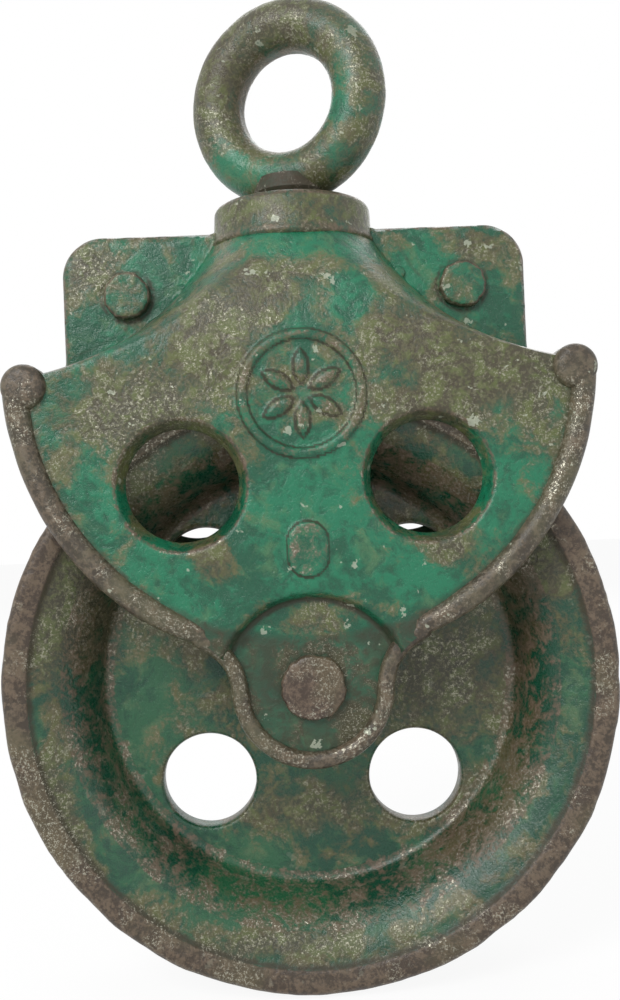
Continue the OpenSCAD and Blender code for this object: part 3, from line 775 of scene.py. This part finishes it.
def makeCheek(name, side, material):
    casting = Casting()
    wx, wz, wr = cheek["window"]
    hole = arcOf(wx, wz, wr, 0, 360, 0.9)[:-1]
    loops = [cheekEdge(), hole, mirrorX(hole)]
    flat, faces = meshDomain(loops, cheekPoints())
    x, z = flat[:, 0], flat[:, 1]
    back = cheekBack(x, z)
    front = np.maximum(cheekFront(x, z), back + 0.3)
    marks = cheekMarks(x, z, front)
    # Back faces: worn 0.25, painted shade with dirt 0.5, olive 0.6.
    behind = np.column_stack([0.25 + 0 * x, 0.5 + 0 * x, 0.6 + 0 * x])
    addPlate(casting, flat, faces, front, back, marks, behind)

    path, bar = rimPath()
    wear = np.tile([1.0, 0.0, 0.3], (len(path), 1))
    swept(casting, path, bar, wear, 20)
    post = knobProfile()
    across, rise = cheek["knob"]["place"]
    for way in (-1, 1):
        wear = np.tile([1.0, 0.1, 0.3], (len(post), 1))
        turned(casting, post, wear, 40, "axle", centre=(way * across, rise))

    ring = collarProfile()
    wear = np.zeros((len(ring), 3))
    wear[:, 2] = 0.7
    wear[3:6, 0] = 0.5
    wear[9:13, 0] = 0.55
    turned(casting, ring, wear, 80, "swivel", ruffle=dented, span=(0.6, 179.4))
    if side < 0:
        for block in casting.points:
            block[:, 0] *= -1
            block[:, 1] *= -1
    thing = casting.finish(name, "housing", material)
    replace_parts(thing, "front_cheek" if side > 0 else "rear_cheek")


# The wheel, in millimetres: radius from the axle and depth from the middle plane.
wheel = {
    "lip": layout["wheel"], "half": 22.0, "round": 2.0,
    "dish": (74.7, 21.5), "web": 3.5, "webRound": 3.0, "hubDepth": 17.5, "bore": 7.21,
    "groove": (74.7, 16.5), "holes": (37.8, 12.0), "turn": -1.2, "webIn": 17.5, "webOut": 50.9,
}

# Browned and fresh patches of the wheel, as for the cheeks.
wheelStains = {"base": 0.5, "spots": [
    (-60, 23, 9, 22, 0.5), (-70, -9, 4, 7, -0.7), (-60, -31, 10, 14, 0.45), (-54, -13, 6, 14, -0.9),
    (-50, -28, 8, 10, -0.8), (-38, -42, 10, 8, -0.8), (-20, -53, 10, 5, -0.8), (-5, -56, 14, 5, -0.9),
    (15, -54, 9, 5, -0.7), (26, -49, 8, 5, -0.7), (-8, -63, 14, 3, 0.4), (-42, -5, 7, 12, -0.6),
    (34, 0, 14, 14, 0.4), (-4, -35, 14, 6, 0.3), (-15, -45, 10, 4, -0.5), (65, -5, 5, 10, -0.5),
    (56, -32, 8, 12, -0.2), (59, 28, 7, 12, 0.4), (0, -22, 14, 6, -0.3),
]}


def wheelSide():
    # Front profile from the groove's edge over the lip, band and dish to the web, as (radius, depth).
    cr, rr = wheel["dish"]
    lip, half, edge = wheel["lip"], wheel["half"], wheel["round"]
    a = np.radians(np.linspace(0, 90, 8))
    lipArc = np.column_stack([lip - edge + edge * np.cos(a), half - edge + edge * np.sin(a)])
    inner = np.array([[lip - 0.9, half - 3.6], [lip - 0.15, half - 2.8]])
    band = np.column_stack([np.linspace(73.2, 70.3, 5), np.linspace(21.95, 21.35, 5)])
    line = np.array([[69.9, 21.1], [69.5, 20.7]])
    foot = wheel["web"] + wheel["webRound"]
    reach = rr + wheel["webRound"]
    low = math.degrees(math.asin(foot / reach))
    start = math.degrees(math.asin(20.1 / rr))
    b = np.radians(np.linspace(start, low, 22))
    dish = np.column_stack([cr - rr * np.cos(b), rr * np.sin(b)])
    fc = cr - math.sqrt(reach ** 2 - foot ** 2)
    c = np.radians(np.linspace(-low, -90, 7))[1:]
    fillet = np.column_stack([fc + wheel["webRound"] * np.cos(c), foot + wheel["webRound"] * np.sin(c)])
    return np.concatenate([inner, lipArc, band, line, dish, fillet, [[wheel["webOut"], wheel["web"]]]])


def wheelUneven(radius, depth, angle):
    # The cast rim: its sides and lip swell and dip by a few tenths of a millimetre, inwards only.
    swell = lumps(angle * 12, 0 * angle, 1.0, 31) + lumps(angle * 37, radius / 3, 1.0, 32) * 0.5
    coarse = lumps(angle * 40, radius / 2.6, 1.0, 33)
    outer = ease(radius, 72, 75.5)
    way = np.sign(depth) * ease(np.abs(depth), 1.0, 3.0)
    depth = depth - way * (0.12 * swell + 0.10 * coarse + 0.14) * ease(radius, wheel["webOut"], 53.0)
    return radius - outer * (0.22 + 0.2 * swell), depth


def hubProfile():
    # Half of the hub from the web's fillet to the bore, and its mirror image.
    deep, bore = wheel["hubDepth"], wheel["bore"]
    half = np.array([
        [wheel["webIn"], wheel["web"]], [16.4, 3.9], [15.6, 5.2], [15.2, 8], [15.0, deep - 1.3],
        [14.7, deep - 0.5], [14.0, deep - 0.1], [10, deep], [7.6, deep], [bore, deep - 0.4],
    ])
    return np.concatenate([half, (half * np.array([1, -1]))[::-1]])


def addWeb(casting, count):
    # Flat web between hub and rim with four round holes, whose edges are rounded.
    a = np.linspace(0, 2 * math.pi, count, endpoint=False)
    outer = wheel["webOut"] * np.column_stack([np.cos(a), np.sin(a)])
    inner = wheel["webIn"] * np.column_stack([np.cos(a[::4]), np.sin(a[::4])])
    pitch, hole = wheel["holes"]
    centres = [(pitch * math.cos(t), pitch * math.sin(t)) for t in np.radians([45, 135, 225, 315]).tolist()]
    loops, rows = [outer, inner], []
    for cx, cz in centres:
        loops.append(arcOf(cx, cz, hole, 0, 360, 0.9)[:-1])
        rows += [arcOf(cx, cz, hole + step, 0, 360, 1.0) for step in (0.35, 0.75, 1.2, 1.8, 2.8)]
    for radius in np.arange(18.6, 49.6, 1.3):
        rows.append(arcOf(0, 0, radius, 0, 359, 1.5))
    flat, faces = meshDomain(loops, rows, 0.3)
    x, z = flat[:, 0], flat[:, 1]
    near = np.min([np.hypot(x - cx, z - cz) - hole for cx, cz in centres], axis=0)
    edge = 1.05
    bevel = np.clip(edge - near, 0, edge)
    rounding = edge - np.sqrt(np.clip(edge ** 2 - bevel ** 2, 0, None))
    radius = np.hypot(x, z)
    inside = ease(radius, 50, 48.5) * ease(radius, 17.5, 19)
    rough = 0.12 * lumps(x, z, 6.0, 41) + 0.07 * lumps(x, z, 2.2, 42)
    depth = wheel["web"] - rounding + inside * rough
    edgeWear = np.exp(-(np.clip(near, 0, None) / 1.0) ** 2)
    spread = np.clip(stained(x, z, wheelStains), 0, 1)
    marks = np.column_stack([0.45 * edgeWear, 0.1 + 0 * x, spread])
    addPlate(casting, flat, faces, depth, -depth, marks, marks, joined=len(outer) + len(inner))


def makeWheel(material):
    casting = Casting()
    count = 256
    side = wheelSide()
    gr, gg = wheel["groove"]
    start = math.degrees(math.acos((gr - side[0, 0]) / gg))
    g = np.radians(np.linspace(-start, start, 34))
    groove = np.column_stack([gr - gg * np.cos(g), gg * np.sin(g)])
    profile = np.concatenate([side[::-1] * np.array([1, -1]), groove[1:-1], side])
    marks = np.zeros((len(profile), 3))
    r, y = profile[:, 0], np.abs(profile[:, 1])
    onLip = ease(r, 69.3, 70.2) * (y > 17.5)
    marks[:, 0] = np.where(y > 17.5, onLip, 0.5)
    # Painted shade in the fine line at the lip's inner edge.
    marks[:, 1] = 0.9 * np.exp(-((r - 69.4) / 0.7) ** 2) * (y > 18)
    marks[:, 2] = 0.15 * onLip
    turned(casting, profile, marks, count, "axle", wheelUneven)
    place = casting.points[-1]
    spread = stained(place[:, 0], place[:, 2], wheelStains)
    casting.marks[-1][:, 2] = np.clip(casting.marks[-1][:, 2] + spread, 0, 1)

    addWeb(casting, count)
    hub = hubProfile()
    # Hub: worn 0.3, painted shade with dirt 0.4, olive 0.6.
    turned(casting, hub, np.tile([0.3, 0.4, 0.6], (len(hub), 1)), count // 4, "axle")
    tilt = math.radians(wheel["turn"])
    for block in casting.points:
        x, z = block[:, 0].copy(), block[:, 2].copy()
        block[:, 0] = x * math.cos(tilt) - z * math.sin(tilt)
        block[:, 2] = x * math.sin(tilt) + z * math.cos(tilt)
    thing = casting.finish("ropeWheel", "wheel", material)
    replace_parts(thing, "wheel")


# The ring and its shank, in millimetres from the ring's centre.
eye = {
    "mean": 20.15, "bar": 7.2, "land": 13.3, "turn": -24.0,
    "shank": 8.0, "top": -20.5, "headTop": -50.05, "head": (11.0, 5.0),
}

# Browned and fresh patches of the ring, as for the cheeks.
ringStains = {"base": 0.62, "spots": [
    (-13, -19, 10, 6, -0.9), (-18, 10, 7, 9, 0.4), (0, 21, 14, 5, 0.3), (17, -4, 4, 9, -0.5),
    (-23, -3, 4, 8, 0.1),
]}


def shankProfile():
    # Shank from the root inside the ring's bar over its flared collar down to the hammered head.
    s, low = eye["shank"], eye["headTop"]
    headR, headT = eye["head"]
    flare = [[0, eye["top"]], [s + 0.6, eye["top"]], [s + 2.0, -24.5], [s + 1.0, -26.2], [s + 0.05, -27.5]]
    straight = [[s, -28.2], [s, low + 0.3], [s + 0.3, low]]
    head = [[headR - 0.5, low], [headR, low - 0.6], [headR - 0.4, low - headT + 1.2],
            [headR - 2.5, low - headT + 0.2], [0, low - headT]]
    return np.array(flare + straight + head)


def makeEye(material):
    # Bar of radius b(u, v) round the circle u: ((mean + b cos v) cos u, b sin v, (mean + b cos v) sin u).
    casting = Casting()
    drop = layout["drop"]
    u = np.linspace(0, 2 * math.pi, 160, endpoint=False)[:, None]
    v = np.linspace(0, 2 * math.pi, 56, endpoint=False)[None, :]
    swell = lumps(u * 5 / math.pi * 2, v * 3 / math.pi, 1.0, 51)
    coarse = lumps(u * 60 / math.pi, v * 16 / math.pi, 1.0, 52)
    bar = eye["bar"] - 0.1 - 0.1 * (swell + 1) - 0.05 * (coarse + 1)
    radius = np.maximum(eye["mean"] + bar * np.cos(v), eye["land"] + 0.03 * (coarse + 1))
    depth = bar * np.sin(v)
    points = np.stack([radius * np.cos(u), depth + 0 * u, radius * np.sin(u) + drop], -1)
    points = np.concatenate([points, points[:1]])
    marks = np.zeros(points.shape)
    inner = ease(-np.cos(v), 0.5, 0.95) + 0 * u
    height = points[..., 2] - drop
    marks[..., 0] = 0.45 * np.concatenate([inner, inner[:1]])
    # Painted shade: darker towards the ring's bottom, where it sits over the collar.
    marks[..., 1] = 0.8 * ease(height, -20, -27)
    marks[..., 2] = np.clip(stained(points[..., 0], height, ringStains), 0, 1)
    casting.sheet(points, marks, closed=True)

    post = shankProfile()
    post[:, 1] += drop
    # The shank inside the collar carries painted shade with dirt of 0.9.
    turned(casting, post, np.tile([0.5, 0.9, 0.6], (len(post), 1)), 64, "swivel")
    a = math.radians(eye["turn"])
    for block in casting.points:
        x, y = block[:, 0].copy(), -block[:, 1]
        block[:, 0] = x * math.cos(a) - y * math.sin(a)
        block[:, 1] = -(x * math.sin(a) + y * math.cos(a))
    thing = casting.finish("swivelRing", "eye", material)
    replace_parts(thing, "swivel_eye")


# Axle pin, rivets and locating pin, in millimetres: shank, depth of the seat, head radius and its height.
pins = {
    "axle": (7.15, 24.6, 8.1, 2.6), "rivet": (4.0, 5.0, 6.3, 2.6), "rivetPlace": cheek["rivet"],
    "stud": (1.8, 6.0), "studPlace": (27.0, 103.4),
}


def hammered(casting, size, centre, seed, marks):
    # Pin with a hammered head at both ends; the head's edge wanders with the angle.
    shank, seat, head, tall = size
    top = seat + tall
    half = np.array([
        [shank, 0], [shank, seat], [head - 0.3, seat], [head, seat + 0.5], [head, top - 1.0],
        [head - 0.35, top - 0.35], [head - 1.0, top - 0.05], [head * 0.7, top - 0.1],
        [head * 0.35, top - 0.05], [0, top - 0.1],
    ])
    profile = np.concatenate([half[::-1][:-1] * np.array([1, -1]), half])
    wear = np.tile(marks, (len(profile), 1))
    wear[4:7, 0] = wear[-7:-4, 0] = 1.0

    def beaten(radius, depth, angle):
        edge = ease(radius, shank, head)
        wave = lumps(angle * 9 / math.pi * 2, 0 * angle + np.sign(depth), 1.0, seed)
        wave = wave + 0.5 * lumps(angle * 20 / math.pi, radius, 1.0, seed + 1)
        crown = ease(np.abs(depth), seat + 0.5, top)
        dent = 0.12 * (1 + lumps(radius * np.cos(angle), radius * np.sin(angle), 1.6, seed + 2))
        return radius - edge * 0.25 * (1 + wave), depth - np.sign(depth) * crown * dent

    turned(casting, profile, wear, 72, "axle", beaten, centre)


def makePins(ironFinish, enamelFinish):
    angle = 60
    casting = Casting()
    hammered(casting, pins["axle"], (0.0, 0.0), 61, [0.8, 0.0, 0.2])
    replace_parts(casting.finish("axleBolt", "housing", ironFinish, angle), "axle_pin")
    rx, rz = pins["rivetPlace"]
    for name, way, seed in (("left", -1, 71), ("right", 1, 81)):
        casting = Casting()
        hammered(casting, pins["rivet"], (way * rx, rz), seed, [0.15, 0.1, 0.45])
        thing = casting.finish(name + "Rivet", "housing", enamelFinish, angle)
        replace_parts(thing, name + "_rivet")
    casting = Casting()
    r, reach = pins["stud"]
    half = np.array([[r, 0], [r, reach - 0.6], [r - 0.25, reach - 0.15], [r - 0.9, reach], [0, reach]])
    profile = np.concatenate([half[::-1][:-1] * np.array([1, -1]), half])
    wear = np.tile([0.3, 0.2, 0.5], (len(profile), 1))
    turned(casting, profile, wear, 32, "axle", None, pins["studPlace"])
    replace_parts(casting.finish("dowel", "housing", enamelFinish, angle), "locating_pin")


makeCheek("frontCheek", 1, finishes["cheek"])
makeCheek("rearCheek", -1, finishes["cheek"])
makeWheel(finishes["wheel"])
makeEye(finishes["ring"])
makePins(finishes["iron"], finishes["cheek"])
print("pieces made")


def seenRays(board):
    # 1 for rays from the camera, a shiny surface or glass, 0 for those that only carry light.
    rays = board.add("ShaderNodeLightPath").outputs
    bright = board.sum("MAXIMUM", rays["Is Camera Ray"], rays["Is Glossy Ray"])
    return board.sum("MAXIMUM", bright, rays["Is Transmission Ray"])


def makeStage():
    # Pale floor under the wheel, and a world that is white to the camera and soft to everything else.
    half = 3.0
    z = -(layout["drop"] + layout["wheel"] + layout["floorGap"]) / 1000
    corners = [(-half, -half, z), (half, -half, z), (half, half, z), (-half, half, z)]
    mesh = bpy.data.meshes.new("floor")
    mesh.from_pydata(corners, [], [(0, 1, 2, 3)])
    floor = bpy.data.objects.new("floor", mesh)
    bpy.context.scene.collection.objects.link(floor)
    material, board, shader = startMaterial("paleFloor")
    shader.inputs["Base Color"].default_value = (0.93, 0.93, 0.93, 1)
    shader.inputs["Roughness"].default_value = 0.9
    glow = board.add("ShaderNodeEmission")
    glow.inputs["Color"].default_value = (1.04, 1.04, 1.04, 1)
    seen = seenRays(board)
    blend = board.add("ShaderNodeMixShader")
    board.feed(blend.inputs[0], board.sum("MULTIPLY", seen, 0.88))
    board.feed(blend.inputs[1], shader.outputs[0])
    board.feed(blend.inputs[2], glow.outputs[0])
    board.feed(board.nodes["Material Output"].inputs[0], blend.outputs[0])
    mesh.materials.append(material)
    floor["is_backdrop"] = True

    world = bpy.data.worlds.new("studio")
    bpy.context.scene.world = world
    world.use_nodes = True
    board = Board(world.node_tree)
    back = board.nodes["Background"]
    seen = seenRays(board)
    board.feed(back.inputs["Strength"], board.ramp(seen, 0.0, 1.0, 0.3, 1.0))
    back.inputs["Color"].default_value = (1, 1, 1, 1)


lampPlan = [
    {"name": "key", "place": (-0.45, -0.75, 0.45), "size": 0.42, "power": 6.4},
    {"name": "fill", "place": (0.7, -0.6, 0.0), "size": 0.8, "power": 1.0},
    {"name": "back", "place": (0.1, 0.8, 0.5), "size": 0.8, "power": 3.0},
]


def makeLamps():
    aim = np.array((0.0, 0.0, -0.11))
    for plan in lampPlan:
        lamp = bpy.data.lights.new(plan["name"], "AREA")
        lamp.size = plan["size"]
        lamp.energy = plan["power"]
        thing = bpy.data.objects.new(plan["name"], lamp)
        bpy.context.scene.collection.objects.link(thing)
        back = np.array(plan["place"]) - aim
        back = back / np.linalg.norm(back)
        side = np.cross((0, 0, 1), back)
        side = side / np.linalg.norm(side)
        up = np.cross(back, side)
        matrix = Matrix.Identity(4)
        for i in range(3):
            for j, column in enumerate((side, up, back, plan["place"])):
                matrix[i][j] = column[i]
        thing.matrix_world = matrix


makeStage()
makeLamps()
print("stage and lamps placed")

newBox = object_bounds()
boxes = {"cad": cadBox, "visual": newBox}
boxes = {name: [list(map(float, corner)) for corner in box] for name, box in boxes.items()}
